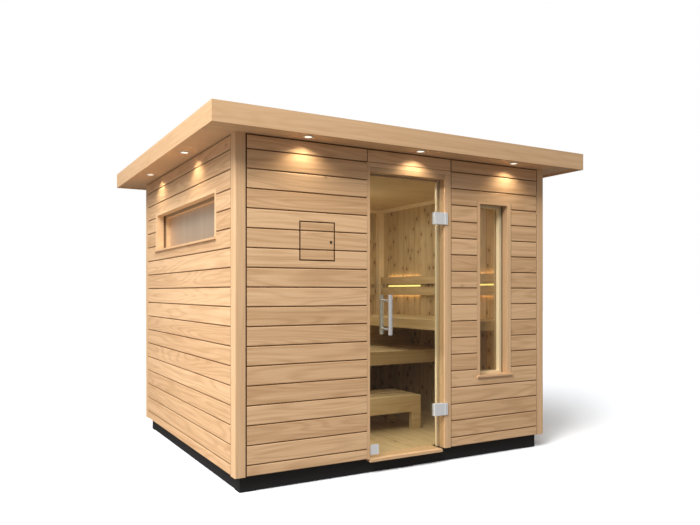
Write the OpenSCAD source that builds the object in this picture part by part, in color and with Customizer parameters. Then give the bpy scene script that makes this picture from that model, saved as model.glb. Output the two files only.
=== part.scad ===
// Outdoor sauna cabin: a clad timber box on a dark plinth, under a flat roof with a wide overhang.
// Millimetres, +Z up. Origin on the ground under the middle of the roof; the door side faces -Y.
// Inside each module, x is measured from the left wall face and y from the front wall face.

/* [Cabin] */
// Width over the wall faces
wall_w = 2574; // [2400:1:2800]
// Depth over the wall faces
wall_d = 2328; // [2300:1:2600]
// Thickness of the insulated walls, cladding and inner panel included
wall_t = 135; // [130:1:150]
// Height of the walls
wall_h = 2098; // [2090:1:2300]
// Width of a corner post on the front and back
post_w = 68; // [50:1:90]
// Width of a corner post on the sides
post_d = 75; // [50:1:90]
// Radius of the posts' outer arris
post_r = 8; // [3:1:12]

/* [Base] */
// Height of the levelling pads
pad_h = 6; // [4:1:20]
// Length of a levelling pad
pad_l = 110; // [80:1:160]
// Height of the plinth beams
plinth_h = 99; // [80:1:130]
// Distance of the plinth behind the wall faces
plinth_inset = 48; // [20:1:70]
// Height of the floor over the foot of the walls
floor_step = 1; // [0:1:20]
// Thickness of the floor
floor_t = 30; // [20:1:40]
// Width of a floor joist
joist_w = 45; // [40:1:60]
// Height of a floor joist
joist_h = 60; // [40:1:60]
// Distance of the outer joists from the side beams
joist_in = 270; // [200:1:300]
// Number of floor joists
joist_n = 6; // [6:1:9]

/* [Roof] */
// Overhang of the roof past the wall faces
overhang = 213; // [150:1:260]
// Height of the fascia boards
fascia_h = 124; // [110:1:160]
// Thickness of the fascia boards
fascia_t = 20; // [16:1:28]
// Drop of the fascia below the soffit
fascia_drop = 12; // [5:1:20]
// Thickness of the soffit boards
soffit_t = 18; // [15:1:24]
// Depth of the roof sheet below the fascia's top
roof_rim = 6; // [3:1:12]
// Height of the room's ceiling below the wall tops
ceiling_t = 97; // [80:1:120]

/* [Downlights] */
// Radius of a downlight's bezel
light_r = 36; // [30:1:42]
// Radius of a downlight's can
can_r = 30; // [22:1:30]
// Height of the bezel
bezel_h = 4; // [2:1:6]
// Depth of the glowing face inside the bezel
lens_set = 2; // [1:1:2]
// Distance of the downlights from the wall faces
light_out = 95; // [60:1:110]
// First front downlight from the left wall face
light_x = 446; // [300:1:600]
// Spacing of the front downlights
light_step = 861; // [700:1:900]
// First side downlight from the front wall face
light_y = 748; // [500:1:900]
// Spacing of the side downlights
light_step_y = 998; // [700:1:1100]

/* [Door] */
// How far the doorway lies left of the wall's middle
door_shift = 13.5; // [-20:0.5:60]
// Width of the clear opening between the casings
door_w = 635; // [600:1:640]
// Height of the clear opening over the foot of the walls
door_h = 1942; // [1900:1:1980]
// Width of the left casing
casing_l = 21; // [18:1:40]
// Width of the right casing, which carries the hinges
casing_r = 54; // [50:1:70]
// Height of the head casing
casing_top = 63; // [50:1:70]
// Depth of the front part of the door frame
jamb_d = 64; // [50:1:70]
// Width of the shadow groove behind the front part of a frame
groove_w = 20; // [10:1:24]
// Depth of the shadow groove
groove_d = 8; // [4:1:10]
// How far the lip behind the groove stands into the doorway
lip_out = 10; // [8:1:14]
// Thickness of the lip
lip_t = 21; // [15:1:28]
// How far the inner part of the door frame stands back behind the lip
lip_back = 12; // [5:1:12]
// Thickness of the door glass
glass_t = 8; // [6:1:10]
// Distance of the door glass behind the wall face
glass_set = 10; // [8:1:14]
// Gap round the door glass
door_gap = 6; // [5:1:8]
// Height of the glass over the sill
door_lift = 6; // [5:1:12]
// Thickness of the door sill
sill_t = 20; // [16:1:28]
// How far the door sill stands out of the wall face
sill_out = 10; // [5:1:30]
// Drain notch at the right end of the door sill
sill_notch = 28; // [20:1:35]

/* [Door fittings] */
// Height of a hinge
hinge_h = 86; // [70:1:110]
// Width of a hinge's glass plates
hinge_w = 88; // [60:1:100]
// Thickness of a hinge's front plate
hinge_t = 18; // [15:1:18]
// Thickness of a hinge's back plate
hinge_back = 8; // [6:1:12]
// Radius of a hinge's knuckle
knuckle_r = 5; // [4.5:0.5:6]
// Radius of a hinge's pin
pin_r = 2.5; // [2:0.5:3]
// Running clearance of the pins
pin_clear = 0.06; // [0.02:0.02:0.1]
// Gap between a hinge's knuckle and its frame leaf
leaf_clear = 1; // [0.5:0.5:2]
// Width of a hinge's frame leaf
leaf_w = 17; // [15:1:30]
// Thickness of a hinge's frame leaf
leaf_t = 8; // [6:1:9]
// Middle of the upper hinge below the head of the doorway
hinge_up = 284; // [192:1:442]
// Middle of the lower hinge over the foot of the walls
hinge_low = 284; // [200:1:400]
// Diameter of the handle bars
bar_d = 30; // [20:1:34]
// Length of the handle bars
bar_l = 274; // [220:1:400]
// Distance between the two handle bars' axes
bar_gap = 113; // [100:1:130]
// Middle of the handle over the foot of the walls
bar_z = 972; // [850:1:1100]
// Distance of the handle from the glass's free edge
bar_in = 130; // [90:1:150]
// Radius of the handle's spindles
spindle_r = 9; // [9:1:12]
// Radius of a spindle where it passes through the glass
neck_r = 6; // [4:1:8]
// Distance between the spindles
spindle_step = 196; // [140:1:196]
// Side of the catch plate
catch_s = 67; // [50:1:80]
// Thickness of the catch plate
catch_t = 5; // [3:1:8]
// Height of the catch plate over the glass's lower edge
catch_up = 20; // [10:1:30]

/* [Front window] */
// How far the window lies left of the middle of its wall panel
fwin_shift = 13.5; // [-40:0.5:40]
// Width over the casing
fwin_w = 334; // [300:1:340]
// Underside of the window sill over the foot of the walls
fwin_z = 492; // [450:1:600]
// Height over the sill and casing
fwin_h = 1314; // [1200:1:1350]
// Width of the left casing
fwin_l = 26; // [20:1:40]
// Width of the right casing
fwin_r = 35; // [20:1:40]
// Height of the head casing
fwin_top = 17; // [15:1:40]

/* [Side window] */
// Front edge of the window casing from the front wall face
swin_y = 357; // [300:1:400]
// Far edge of the window casing from the back wall face
swin_far = 365; // [300:1:500]
// Underside of the window sill over the foot of the walls
swin_z = 1472; // [1400:1:1500]
// Height over the sill and casing
swin_h = 329; // [300:1:400]
// Width of the near casing
swin_l = 28; // [20:1:50]
// Width of the far casing
swin_r = 48; // [20:1:50]
// Height of the head casing
swin_top = 23; // [18:1:40]

/* [Window parts] */
// Depth of the window casings
casing_d = 56; // [50:1:60]
// How far a window's inner frame stands in behind the groove
frame_lip = 16; // [10:1:25]
// Thickness of a window's glass unit
pane_t = 14; // [10:1:20]
// Depth of the glass behind the inner frame's face
pane_set = 32; // [15:1:35]
// Depth of the glass in the frame's groove
pane_grip = 8; // [5:1:10]
// Thickness of a window sill
wsill_t = 14; // [12:1:25]
// How far a window sill stands out
wsill_out = 15; // [10:1:40]
// How far a window sill runs past the casing
wsill_ear = 6; // [1:1:15]

/* [Control hatch] */
// How far the hatch lies right of the middle of its wall panel
hatch_shift = 56.5; // [-60:0.5:100]
// Side of the hatch opening
hatch_w = 252; // [220:1:280]
// Height of the hatch opening
hatch_h = 251; // [220:1:280]
// Lower edge of the hatch opening over the foot of the walls
hatch_z = 1330; // [1250:1:1400]
// Thickness of the hatch door
hatch_t = 20; // [16:1:24]
// Gap round the hatch door
hatch_gap = 6; // [5:1:8]
// Depth of the niche behind the hatch
niche_d = 95; // [60:1:110]
// Radius of the hatch's pivot pins
pivot_r = 2; // [1.5:0.5:2.5]
// Radius of the hatch lock
lock_r = 9; // [6:1:12]
// How far the lock stands out
lock_out = 2; // [1:1:4]

/* [Benches] */
// Width of a bench slat
slat_w = 86; // [70:1:95]
// Rough gap between bench slats
slat_gap = 12; // [8:1:20]
// Thickness of a bench slat
slat_t = 27; // [20:1:35]
// Width of the bearers under the slats
bearer_w = 40; // [30:1:60]
// Height of the bearers under the slats
bearer_h = 45; // [30:1:50]
// Rough spacing of the bearers
bearer_step = 650; // [400:1:900]
// Thickness of a bench's front board
edge_t = 28; // [20:1:35]
// Top of the upper benches over the foot of the walls
upper_z = 901; // [850:1:1000]
// Height of the upper benches' front board
upper_edge = 80; // [75:1:120]
// Depth of the upper bench on the right wall
upper_d = 600; // [500:1:700]
// Depth of the upper bench on the back wall
back_d = 600; // [500:1:650]
// Top of the lower bench over the foot of the walls
lower_z = 623; // [500:1:640]
// Height of the lower bench's front board
lower_edge = 110; // [75:1:120]
// Depth of the lower bench, from its front to the skirt
lower_d = 716; // [450:1:740]
// How far the skirt stands back under the upper bench
skirt_in = 29; // [29:1:60]
// Thickness of the skirt boards
skirt_t = 18; // [14:1:24]
// Gap between the skirt boards
skirt_gap = 8; // [4:1:14]

/* [Backrests] */
// Height of a backrest slat
rest_w = 76; // [50:1:80]
// Gap between the two backrest slats
rest_gap = 36; // [30:1:70]
// Lower edge of the backrests over the bench
rest_up = 197; // [120:1:220]
// Thickness of a backrest slat
rest_t = 20; // [15:1:28]
// Depth of the cleats behind the slats
cleat_t = 20; // [15:1:30]
// Width of a cleat
cleat_w = 40; // [30:1:60]
// Gap between the right wall's backrest and the corner post at its back end
rest_gap_end = 5; // [2:1:20]
// Distance of the right wall's backrest from the front wall
rest_front = 113; // [65:1:200]
// Distance of the back wall's backrest from the left wall
rest_left = 500; // [65:1:600]
// Distance of the back wall's backrest from the right wall
rest_right = 100; // [65:1:200]
// Distance of the cleats from a backrest's ends
cleat_in = 30; // [10:1:60]
// Distance of the back light strip from the back wall
led_back = 159; // [100:1:300]
// Length of the back light strip
led_l = 564; // [300:1:650]
// Distance of the front light strip from the front wall
led_front = 200; // [185:1:260]
// Length of the front light strip
led_l2 = 197; // [100:1:300]
// Thickness of the light strip
led_t = 6; // [4:1:10]
// Height of the light strip
led_h = 14; // [5:1:20]

/* [Step stool] */
// Length of the stool
stool_l = 650; // [500:1:800]
// Depth of the stool
stool_d = 405; // [300:1:420]
// Height of the stool over the floor
stool_h = 278; // [220:1:320]
// Right end of the stool from the left wall face
stool_x = 1854; // [1500:1:1880]
// How far the stool stands in under the lower bench
stool_under = 160; // [0:1:200]
// Height of the stool's rails
rail_h = 105; // [50:1:120]
// Thickness of the stool's top slats and rails
stool_t = 27; // [20:1:32]
// Width of a stool leg
leg_w = 88; // [50:1:100]
// Thickness of a stool leg
leg_t = 41; // [30:1:60]

/* [Inner trim] */
// Height of the cornice below the ceiling
cornice_h = 33; // [20:1:50]
// Thickness of the cornice
trim_t = 16; // [10:1:24]
// Side of an inner corner post
corner_w = 60; // [30:1:80]

/* [Hidden] */
$fn = 48;

foot_z = pad_h + plinth_h;
top_z = foot_z + wall_h;
floor_z = foot_z + floor_step;
ceiling_z = top_z - ceiling_t;
in_x = wall_w - wall_t;
in_y = wall_d - wall_t;
beam_w = wall_t - plinth_inset;

door_l = (wall_w - door_w) / 2 - door_shift;
door_x = door_l - casing_l;
door_r = door_l + door_w;
door_end = door_r + casing_r;
door_top = foot_z + door_h;
frame_y = casing_d + groove_w;
lip_y = jamb_d + groove_w;
head_top = door_top + casing_top;
sill_top = foot_z;
glass_x0 = door_l + door_gap;
glass_x1 = door_r - door_gap;
glass_z0 = sill_top + door_lift;
glass_z1 = door_top - door_gap;
glass_y1 = glass_set + glass_t;
hinge_x = door_r - 2;
hinge_y = -knuckle_r - 1;
plate_x = hinge_x - knuckle_r - 1 - hinge_w;
bar_x = glass_x0 + bar_in;
mid_glass = glass_set + glass_t / 2;

fwin_x = (door_end + wall_w - post_w - fwin_w) / 2 - fwin_shift;
swin_w = wall_d - swin_y - swin_far;

hatch_x = (post_w + door_x - hatch_w) / 2 + hatch_shift;
hatch_l = hatch_x + hatch_gap;
pivot_x = hatch_l + 9;
pivot_y = 4;
pivot_l = 4;

upper_x = in_x - upper_d;
back_y = in_y - back_d;
skirt_y = back_y + skirt_in;
lower_y = skirt_y - lower_d;
upper_top = foot_z + upper_z;
lower_top = foot_z + lower_z;
rest_z = upper_top + rest_up;

// Moves a piece from the walls' front left corner to the part's own origin.
module place() translate([-wall_w / 2, -wall_d / 2, 0]) children();

// A box given by its two opposite corners.
module block(a, b) translate(a) cube(b - a);

// A row of n boards of width w from a to b along one axis, with even gaps.
module boards(a, b, w, n, size_z, length, along_x) {
    step = (b - a - w) / (n - 1);
    for (i = [0 : n - 1])
        if (along_x) translate([0, a + i * step, 0]) cube([length, w, size_z]);
        else translate([a + i * step, 0, 0]) cube([w, length, size_z]);
}

module plinth_bar(a, b) color([0.12, 0.12, 0.12]) place()
    block([a[0], a[1], pad_h], [b[0], b[1], foot_z]);

// The front beam is notched to seat the door sill.
module plinth_front() difference() {
    plinth_bar([plinth_inset, plinth_inset], [wall_w - plinth_inset, wall_t]);
    place() block([door_l, 0, sill_top - sill_t], [door_r, wall_t + 1, foot_z + 1]);
}

module plinth_back() plinth_bar([plinth_inset, in_y], [wall_w - plinth_inset, wall_d - plinth_inset]);

module plinth_left() plinth_bar([plinth_inset, wall_t], [wall_t, in_y]);

module plinth_right() plinth_bar([in_x, wall_t], [wall_w - plinth_inset, in_y]);

// Levelling pads under the front and back beams, at their ends and middle.
module plinth_pads() color([0.1, 0.1, 0.1]) place()
    for (x = [plinth_inset, (wall_w - pad_l) / 2, wall_w - plinth_inset - pad_l])
        for (y = [plinth_inset, in_y])
            translate([x, y, 0]) cube([pad_l, beam_w, pad_h]);

module floor_joists() color([0.65, 0.5, 0.34]) place()
    translate([0, wall_t, floor_z - floor_t - joist_h])
        boards(wall_t + joist_in, in_x - joist_in, joist_w, joist_n, joist_h, in_y - wall_t, false);

module floor() color([0.84, 0.7, 0.5]) place()
    block([wall_t, wall_t, floor_z - floor_t], [in_x, in_y, floor_z]);

module wall_slab(a, b) block([a[0], a[1], foot_z], [b[0], b[1], top_z]);

// Front wall from the left post to the door, with the pocket behind the control hatch.
module front_wall_left() color([0.8, 0.64, 0.45]) place() difference() {
    wall_slab([post_w, 0], [door_x, wall_t]);
    translate([hatch_x, -1, foot_z + hatch_z]) cube([hatch_w, niche_d + 1, hatch_h]);
    for (z = [hatch_z - pivot_l - 1, hatch_z + hatch_h - 1])
        translate([pivot_x, pivot_y, foot_z + z]) cylinder(r = pivot_r + pin_clear, h = pivot_l + 2);
}

module front_wall_over_door() color([0.8, 0.64, 0.45]) place()
    block([door_x, 0, head_top], [door_end, wall_t, top_z]);

module front_wall_right() color([0.8, 0.64, 0.45]) place() difference() {
    wall_slab([door_end, 0], [wall_w - post_w, wall_t]);
    translate([fwin_x, -1, foot_z + fwin_z]) cube([fwin_w, wall_t + 2, fwin_h]);
}

// A side wall reaches behind the front and back posts to close the corners.
module side_wall() translate([0, 0, foot_z]) linear_extrude(wall_h) polygon([
    [0, post_d], [post_w, post_d], [post_w, wall_t], [wall_t, wall_t], [wall_t, in_y],
    [post_w, in_y], [post_w, wall_d - post_d], [0, wall_d - post_d]]);

module left_wall() color([0.9, 0.73, 0.52]) place() difference() {
    side_wall();
    translate([-1, swin_y, foot_z + swin_z]) cube([wall_t + 2, swin_w, swin_h]);
}

module right_wall() color([0.8, 0.64, 0.45]) place() translate([wall_w, 0, 0]) mirror([1, 0, 0]) side_wall();

module back_wall() color([0.8, 0.64, 0.45]) place() wall_slab([post_w, in_y], [wall_w - post_w, wall_d]);

// One corner post, its outer arris rounded.
module corner_post() translate([0, 0, foot_z]) linear_extrude(wall_h) union() {
    translate([post_r, post_r]) circle(r = post_r);
    translate([post_r, 0]) square([post_w - post_r, post_d]);
    translate([0, post_r]) square([post_w, post_d - post_r]);
}

module corner_posts() color([0.86, 0.7, 0.5]) place()
    for (i = [0, 1], j = [0, 1])
        translate([i * wall_w, j * wall_d, 0]) mirror([i, 0, 0]) mirror([0, j, 0]) corner_post();

module ceiling() color([0.82, 0.67, 0.47]) place()
    block([wall_t, wall_t, ceiling_z], [in_x, in_y, top_z]);

// Places a copy at each downlight: three at the front and two on each side.
module at_lights() {
    for (i = [0 : 2]) translate([light_x + i * light_step, -light_out, top_z]) children();
    for (x = [-light_out, wall_w + light_out], i = [0, 1])
        translate([x, light_y + i * light_step_y, top_z]) children();
}

module soffit() color([0.8, 0.64, 0.45]) place() difference() {
    translate([-overhang + fascia_t, -overhang + fascia_t, top_z])
        cube([wall_w + 2 * (overhang - fascia_t), wall_d + 2 * (overhang - fascia_t), soffit_t]);
    at_lights() translate([0, 0, -1]) cylinder(r = can_r + 1, h = soffit_t + 2);
}

module roof_deck() color([0.25, 0.25, 0.26]) place()
    translate([-overhang + fascia_t, -overhang + fascia_t, top_z + soffit_t])
        cube([wall_w + 2 * (overhang - fascia_t), wall_d + 2 * (overhang - fascia_t),
            fascia_h - fascia_drop - soffit_t - roof_rim]);

// A fascia board along x, its ends cut at 45 degrees to meet the next board.
module fascia(length) translate([0, 0, top_z - fascia_drop]) linear_extrude(fascia_h)
    polygon([[0, 0], [length, 0], [length - fascia_t, fascia_t], [fascia_t, fascia_t]]);

module fascia_front() color([0.8, 0.62, 0.42]) place()
    translate([-overhang, -overhang, 0]) fascia(wall_w + 2 * overhang);

module fascia_back() color([0.8, 0.62, 0.42]) place()
    translate([wall_w + overhang, wall_d + overhang, 0]) rotate([0, 0, 180]) fascia(wall_w + 2 * overhang);

module fascia_left() color([0.84, 0.66, 0.46]) place()
    translate([-overhang, wall_d + overhang, 0]) rotate([0, 0, -90]) fascia(wall_d + 2 * overhang);

module fascia_right() color([0.8, 0.62, 0.42]) place()
    translate([wall_w + overhang, -overhang, 0]) rotate([0, 0, 90]) fascia(wall_d + 2 * overhang);

// A downlight: a bezel under the soffit with a sunk lens, and its can in the soffit's hole.
module downlights() color([0.9, 0.9, 0.88]) place() at_lights() difference() {
    union() {
        cylinder(r = can_r, h = soffit_t - 1);
        translate([0, 0, -bezel_h]) cylinder(r1 = light_r - 3, r2 = light_r, h = bezel_h);
    }
    translate([0, 0, -bezel_h - 1]) cylinder(r = can_r - 6, h = lens_set + 1);
}

// One bar of the door frame seen in section, its clear face at x = 0 and its front at y = 0: a front
// part, a shadow groove, a lip for the glass to close against, and an inner part that stands back.
module frame_bar(w, length) linear_extrude(length) polygon([
    [0, 0], [w, 0], [w, wall_t], [lip_back, wall_t], [lip_back, lip_y + lip_t],
    [-lip_out, lip_y + lip_t], [-lip_out, lip_y], [groove_d, lip_y], [groove_d, jamb_d], [0, jamb_d]]);

// An upright of the door frame, its groove and setback turning into the head's at the top.
module jamb(w) {
    translate([0, 0, foot_z]) frame_bar(w, door_h);
    difference() {
        block([0, 0, door_top], [w, wall_t, head_top]);
        block([-1, jamb_d, door_top - 1], [groove_d, lip_y, door_top + groove_d]);
        block([-1, lip_y + lip_t, door_top - 1], [lip_back, wall_t + 1, door_top + lip_back]);
    }
}

module door_jamb_left() color([0.86, 0.7, 0.5]) place()
    translate([door_l, 0, 0]) mirror([1, 0, 0]) jamb(casing_l);

module door_jamb_right() color([0.86, 0.7, 0.5]) place()
    translate([door_r, 0, 0]) jamb(casing_r);

// The head has the jambs' section, its lip ending between theirs.
module door_head() color([0.86, 0.7, 0.5]) place() difference() {
    translate([door_l, 0, door_top]) rotate([0, 90, 0]) mirror([1, 0, 0]) frame_bar(casing_top, door_w);
    for (x = [door_l - 1, door_r - lip_out])
        block([x, lip_y - 1, door_top - lip_out - 1], [x + lip_out + 1, lip_y + lip_t + 1, door_top]);
}

// The door sill runs in to the floor and leaves a drain notch at its right end.
module door_sill() color([0.84, 0.67, 0.46]) place()
    block([door_l, -sill_out, sill_top - sill_t], [door_r - sill_notch, wall_t, sill_top]);

// The frame's half of each hinge: a leaf on the casing, with the pin and its two end knuckles.
module frame_hinge_leaves() color([0.75, 0.75, 0.77]) place()
    for (z = [door_h - hinge_up, hinge_low]) translate([0, 0, foot_z + z - hinge_h / 2]) {
        translate([hinge_x + knuckle_r + leaf_clear, -leaf_t, 0]) cube([leaf_w, leaf_t, hinge_h]);
        translate([hinge_x, hinge_y, 0]) {
            cylinder(r = pin_r, h = hinge_h);
            for (s = [0, hinge_h * 2 / 3]) translate([0, 0, s]) {
                cylinder(r = knuckle_r, h = hinge_h / 3);
                translate([0, -hinge_y - leaf_t, 0])
                    cube([knuckle_r + leaf_clear + 1, leaf_t - 1, hinge_h / 3]);
            }
        }
    }

// The door's half of each hinge: plates on both glass faces and the middle knuckle.
module door_hinge_leaves() color([0.75, 0.75, 0.77]) place()
    for (z = [door_h - hinge_up, hinge_low]) translate([0, 0, foot_z + z - hinge_h / 2]) {
        translate([plate_x, glass_set - hinge_t, 0]) cube([hinge_w, hinge_t, hinge_h]);
        translate([plate_x, glass_y1, 0]) cube([hinge_w, hinge_back, hinge_h]);
        translate([hinge_x, hinge_y, hinge_h / 3 + 0.3]) difference() {
            union() {
                cylinder(r = knuckle_r, h = hinge_h / 3 - 0.6);
                translate([-knuckle_r - 2, 0, 0]) cube([knuckle_r + 2, knuckle_r, hinge_h / 3 - 0.6]);
            }
            translate([0, 0, -1]) cylinder(r = pin_r + pin_clear, h = hinge_h);
        }
    }

module door_glass() color([0.75, 0.8, 0.75, 0.35]) place() difference() {
    block([glass_x0, glass_set, glass_z0], [glass_x1, glass_y1, glass_z1]);
    for (s = [-0.5, 0.5])
        translate([bar_x, 0, foot_z + bar_z + s * spindle_step]) rotate([-90, 0, 0])
            cylinder(r = neck_r + 0.5, h = glass_y1 + 1);
}

// Two upright bars, one on each side of the glass, joined by spindles through it.
module door_handle() color([0.78, 0.78, 0.8]) place()
    translate([bar_x, mid_glass, foot_z + bar_z]) {
        for (y = [-0.5, 0.5])
            translate([0, y * bar_gap, -bar_l / 2]) cylinder(d = bar_d, h = bar_l);
        for (z = [-0.5, 0.5]) translate([0, 0, z * spindle_step]) rotate([-90, 0, 0]) {
            translate([0, 0, -bar_gap / 2]) cylinder(r = neck_r, h = bar_gap);
            for (s = [-1, 1]) translate([0, 0, s * (bar_gap + glass_t) / 4])
                cylinder(r = spindle_r, h = (bar_gap - glass_t) / 2, center = true);
        }
    }

module door_catch() color([0.85, 0.85, 0.86]) place()
    translate([glass_x0 + 1, glass_set - catch_t, glass_z0 + catch_up]) cube([catch_s, catch_t, catch_s]);

// A window drawn lying along x with its outer face at y = 0: a casing on three sides, a shadow
// groove behind it and an inner frame that holds the glass.
module window_frame(w, h, l, r, top) difference() {
    union() {
        translate([0, 0, wsill_t]) cube([w, frame_y, h - wsill_t]);
        translate([0, frame_y, 0]) cube([w, wall_t - frame_y, h]);
    }
    translate([l, -1, wsill_t - 1]) cube([w - l - r, frame_y + 1, h - top - wsill_t + 1]);
    translate([l - groove_d, casing_d, wsill_t - 1])
        cube([w - l - r + 2 * groove_d, groove_w, h - top - wsill_t + 1 + groove_d]);
    window_space(w, h, l, r, top, frame_lip, wall_t + 1);
    translate([0, frame_y + pane_set, 0]) window_space(w, h, l, r, top, frame_lip - pane_grip, pane_t);
}

// The space inside the casing, drawn in by an even margin.
module window_space(w, h, l, r, top, margin, depth) translate([l + margin, 0, wsill_t + margin])
    cube([w - l - r - 2 * margin, depth, h - top - wsill_t - 2 * margin]);

module window_glass(w, h, l, r, top) translate([0, frame_y + pane_set, 0])
    window_space(w, h, l, r, top, frame_lip - pane_grip, pane_t);

// A window sill: a board from the inner frame out over the cladding, with an ear at each end.
module window_sill(w) {
    cube([w, frame_y, wsill_t]);
    translate([-wsill_ear, -wsill_out, 0]) cube([w + 2 * wsill_ear, wsill_out, wsill_t]);
}

module at_front_window() translate([fwin_x, 0, foot_z + fwin_z]) children();

// Turns a window drawn along x so that it lies in the left wall, its near end towards the front.
module at_side_window() translate([0, swin_y, foot_z + swin_z]) mirror([1, -1, 0]) children();

module front_window_frame() color([0.86, 0.7, 0.5]) place() at_front_window()
    window_frame(fwin_w, fwin_h, fwin_l, fwin_r, fwin_top);

module front_window_glass() color([0.7, 0.68, 0.6, 0.4]) place() at_front_window()
    window_glass(fwin_w, fwin_h, fwin_l, fwin_r, fwin_top);

module front_window_sill() color([0.88, 0.72, 0.52]) place() at_front_window() window_sill(fwin_w);

module side_window_frame() color([0.9, 0.74, 0.54]) place() at_side_window()
    window_frame(swin_w, swin_h, swin_l, swin_r, swin_top);

module side_window_glass() color([0.7, 0.68, 0.6, 0.4]) place() at_side_window()
    window_glass(swin_w, swin_h, swin_l, swin_r, swin_top);

module side_window_sill() color([0.92, 0.76, 0.56]) place() at_side_window() window_sill(swin_w);

// The flush hatch door with a pivot pin at its top and bottom.
module hatch_door() color([0.8, 0.64, 0.45]) place() difference() {
    union() {
        block([hatch_l, 0, foot_z + hatch_z + hatch_gap],
            [hatch_x + hatch_w - hatch_gap, hatch_t, foot_z + hatch_z + hatch_h - hatch_gap]);
        translate([pivot_x, pivot_y, foot_z + hatch_z - pivot_l]) cylinder(r = pivot_r, h = pivot_l + hatch_gap + 1);
        translate([pivot_x, pivot_y, foot_z + hatch_z + hatch_h - hatch_gap - 1])
            cylinder(r = pivot_r, h = pivot_l + hatch_gap + 1);
    }
    at_lock() cylinder(r = lock_r, h = hatch_t + 2);
}

module at_lock() translate([hatch_x + hatch_w - hatch_gap - 21, -1, foot_z + hatch_z + hatch_h / 2 - 3])
    rotate([-90, 0, 0]) children();

// The lock's barrel, with a key slot in its face.
module hatch_lock() color([0.7, 0.7, 0.72]) place() at_lock() difference() {
    translate([0, 0, 1 - lock_out]) cylinder(r = lock_r, h = hatch_t + lock_out + 6);
    translate([-1, -lock_r / 2, 0 - lock_out]) cube([2, lock_r, 2]);
}

// A bench seen from its front: slats along x over cross bearers, with a board on the front edge.
module bench(length, depth, edge) {
    n = round((depth - edge_t) / (slat_w + slat_gap));
    translate([0, edge_t, -slat_t]) boards(0, depth - edge_t, slat_w, n, slat_t, length, true);
    translate([0, 0, -edge]) cube([length, edge_t, edge]);
    cross = max(2, round(length / bearer_step) + 1);
    for (i = [0 : cross - 1]) translate([i * (length - bearer_w) / (cross - 1), edge_t, -slat_t - bearer_h])
        cube([bearer_w, depth - edge_t, bearer_h]);
}

module upper_bench_right() color([0.8, 0.66, 0.46]) place()
    translate([upper_x, in_y, upper_top]) rotate([0, 0, -90]) bench(in_y - wall_t, upper_d, upper_edge);

module upper_bench_back() color([0.8, 0.66, 0.46]) place()
    translate([wall_t, back_y, upper_top]) bench(upper_x - wall_t, back_d, upper_edge);

module lower_bench() color([0.8, 0.66, 0.46]) place()
    translate([wall_t, lower_y, lower_top]) bench(in_x - wall_t, lower_d, lower_edge);

// Two boards that close the space between the lower bench and the upper one.
module bench_skirt() color([0.45, 0.33, 0.22]) place() {
    gap_top = upper_top - slat_t - bearer_h;
    board = (gap_top - lower_top - 2 * skirt_gap) / 2;
    for (i = [0, 1])
        translate([wall_t, skirt_y, lower_top + i * (board + skirt_gap)])
            cube([in_x - wall_t, skirt_t, board]);
}

// A backrest along x against the wall at y = 0: two slats on cleats.
module backrest(length) {
    for (z = [0, rest_w + rest_gap])
        translate([0, -cleat_t - rest_t, z]) cube([length, rest_t, rest_w]);
    for (x = [cleat_in, (length - cleat_w) / 2, length - cleat_in - cleat_w])
        translate([x, -cleat_t, 0]) cube([cleat_w, cleat_t, 2 * rest_w + rest_gap]);
}

module on_right_wall(y) translate([in_x, y, rest_z]) rotate([0, 0, -90]) children();

module backrests() color([0.82, 0.66, 0.46]) place() {
    on_right_wall(in_y - corner_w - rest_gap_end)
        backrest(in_y - wall_t - corner_w - rest_gap_end - rest_front);
    translate([wall_t + rest_left, in_y, rest_z]) backrest(in_x - wall_t - rest_left - rest_right);
}

// Glowing strips on the wall, in the gap between the backrest slats.
module led_strips() color([1, 0.9, 0.55]) place()
    for (s = [[in_y - led_back, led_l], [wall_t + led_front + led_l2, led_l2]])
        on_right_wall(s[0]) translate([0, -led_t, rest_w + (rest_gap - led_h) / 2])
            cube([s[1], led_t, led_h]);

module step_stool() color([0.82, 0.67, 0.47]) place()
    translate([stool_x - stool_l, lower_y + stool_under - stool_d, floor_z]) {
        translate([0, 0, stool_h - stool_t]) boards(0, stool_d, slat_w, 4, stool_t, stool_l, true);
        for (x = [0, stool_l - leg_w], y = [0, stool_d - leg_t])
            translate([x, y, 0]) cube([leg_w, leg_t, stool_h - stool_t]);
        for (y = [0, stool_d - stool_t])
            translate([leg_w, y, stool_h - stool_t - rail_h]) cube([stool_l - 2 * leg_w, stool_t, rail_h]);
        for (x = [0, stool_l - stool_t])
            translate([x, leg_t, stool_h - stool_t - rail_h]) cube([stool_t, stool_d - 2 * leg_t, rail_h]);
    }

// A cornice round the ceiling, and square posts in the corners: those over the benches stand on them.
module inner_trim() color([0.86, 0.71, 0.5]) place() {
    difference() {
        block([wall_t, wall_t, ceiling_z - cornice_h], [in_x, in_y, ceiling_z]);
        block([wall_t + trim_t, wall_t + trim_t, ceiling_z - cornice_h - 1],
            [in_x - trim_t, in_y - trim_t, ceiling_z + 1]);
    }
    for (x = [wall_t, in_x - corner_w], y = [wall_t, in_y - corner_w])
        block([x, y, x + y < wall_w / 2 ? floor_z : upper_top], [x + corner_w, y + corner_w, ceiling_z]);
}

plinth_front();
plinth_back();
plinth_left();
plinth_right();
plinth_pads();
floor_joists();
floor();
front_wall_left();
front_wall_over_door();
front_wall_right();
left_wall();
right_wall();
back_wall();
corner_posts();
ceiling();
soffit();
roof_deck();
fascia_front();
fascia_back();
fascia_left();
fascia_right();
downlights();
door_jamb_left();
door_jamb_right();
door_head();
door_sill();
frame_hinge_leaves();
door_glass();
door_hinge_leaves();
door_handle();
door_catch();
front_window_frame();
front_window_glass();
front_window_sill();
side_window_frame();
side_window_glass();
side_window_sill();
hatch_door();
hatch_lock();
upper_bench_right();
upper_bench_back();
lower_bench();
bench_skirt();
backrests();
led_strips();
step_stool();
inner_trim();
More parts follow.
